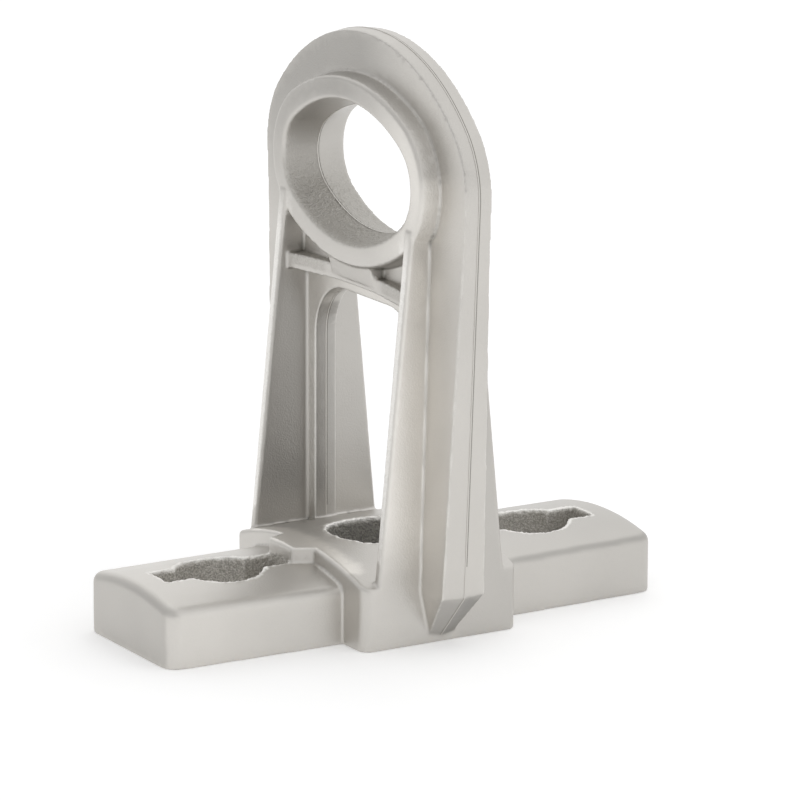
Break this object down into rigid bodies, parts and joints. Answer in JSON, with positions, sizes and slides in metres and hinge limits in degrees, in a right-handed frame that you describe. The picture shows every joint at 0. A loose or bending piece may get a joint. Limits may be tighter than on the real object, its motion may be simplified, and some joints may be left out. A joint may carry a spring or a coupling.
{
  "type": "cable anchor bracket",
  "caption": "Cast aluminium anchor bracket: slotted base for bolts or strap, tapered legs and a wide oval eye that holds a dead-end clamp of an overhead cable.",
  "frame": {"origin": "middle of the flat mounting face under the base", "axes": "+X along the base through both bolt holes and along the axis of the eye, +Y across the base, +Z away from the pole towards the eye"},
  "size_m": [0.114, 0.0784, 0.1199],
  "materials": {
    "cast_aluminium": "as cast, shot-blasted satin"
  },
  "bodies": {
    "root": {"bracket_casting": "cast_aluminium"}
  },
  "joints": []
}
